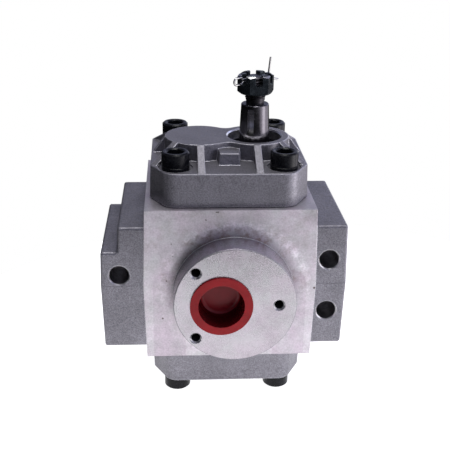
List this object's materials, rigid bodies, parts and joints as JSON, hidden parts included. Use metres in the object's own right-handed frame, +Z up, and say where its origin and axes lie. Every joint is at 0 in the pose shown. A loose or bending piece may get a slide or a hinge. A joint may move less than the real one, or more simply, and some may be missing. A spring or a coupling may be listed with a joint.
{
  "type": "hydraulic gear pump",
  "caption": "External gear pump with side mounting ears, a round inlet spigot, bolted covers and a tapered drive shaft with a castle nut.",
  "frame": {"origin": "under the middle of the pump's box, level with the undersides of the rear cover's bolt heads", "axes": "+Z up along the drive shaft towards its nut, -Y out of the inlet, +X towards the ear with the pair of holes"},
  "size_m": [0.1882, 0.1462, 0.2618],
  "materials": {
    "cast_aluminium": "grit-blasted casting with machined faces",
    "bearing_aluminium": "fine turned",
    "bearing_bronze": "smooth, oiled",
    "black_steel": "black oxide, slightly oiled",
    "shaft_steel": "ground and hardened",
    "nut_steel": "blackened with bright chamfers",
    "pin_steel": "bright drawn wire",
    "spring_steel": "phosphated spring steel",
    "seal_rubber": "matt nitrile rubber",
    "red_plastic": "soft moulded plastic"
  },
  "bodies": {
    "housing": {"pump_body": "cast_aluminium", "front_cover": "cast_aluminium", "rear_cover": "cast_aluminium", "front_cover_bolts": "black_steel", "rear_cover_bolts": "black_steel", "front_dowel_pins": "shaft_steel", "rear_dowel_pins": "shaft_steel", "front_body_seal": "seal_rubber", "rear_body_seal": "seal_rubber", "front_bearing_block": "bearing_aluminium", "rear_bearing_block": "bearing_aluminium", "front_pressure_seal": "seal_rubber", "rear_pressure_seal": "seal_rubber", "front_drive_bush": "bearing_bronze", "front_idler_bush": "bearing_bronze", "rear_drive_bush": "bearing_bronze", "rear_idler_bush": "bearing_bronze", "shaft_seal_case": "spring_steel", "shaft_seal_lip": "seal_rubber", "shaft_seal_spring": "spring_steel", "retaining_ring": "spring_steel"},
    "drive_shaft": {"drive_gear_shaft": "shaft_steel", "castle_nut": "nut_steel", "cotter_pin": "pin_steel"},
    "idler_shaft": {"idler_gear_shaft": "shaft_steel"},
    "inlet_plug": {"inlet_port_plug": "red_plastic"},
    "outlet_plug": {"outlet_port_plug": "red_plastic"}
  },
  "joints": [
    {"name": "drive_spin", "type": "hinge", "parent": "housing", "child": "drive_shaft", "pos_m": [0.0259, 0.0137, 0.1014], "axis": [0, 0, 1], "continuous": true},
    {"name": "idler_spin", "type": "hinge", "parent": "housing", "child": "idler_shaft", "pos_m": [-0.0173, 0.0137, 0.1014], "axis": [0, 0, 1], "continuous": true},
    {"name": "inlet_plug_pull", "type": "slide", "parent": "housing", "child": "inlet_plug", "axis": [0, -1, 0], "range_m": [0, 0.03]},
    {"name": "outlet_plug_pull", "type": "slide", "parent": "housing", "child": "outlet_plug", "axis": [0, 1, 0], "range_m": [0, 0.025]}
  ],
  "couplings": [
    {"joint": "idler_spin", "follows": "drive_spin", "ratio": -1}
  ]
}
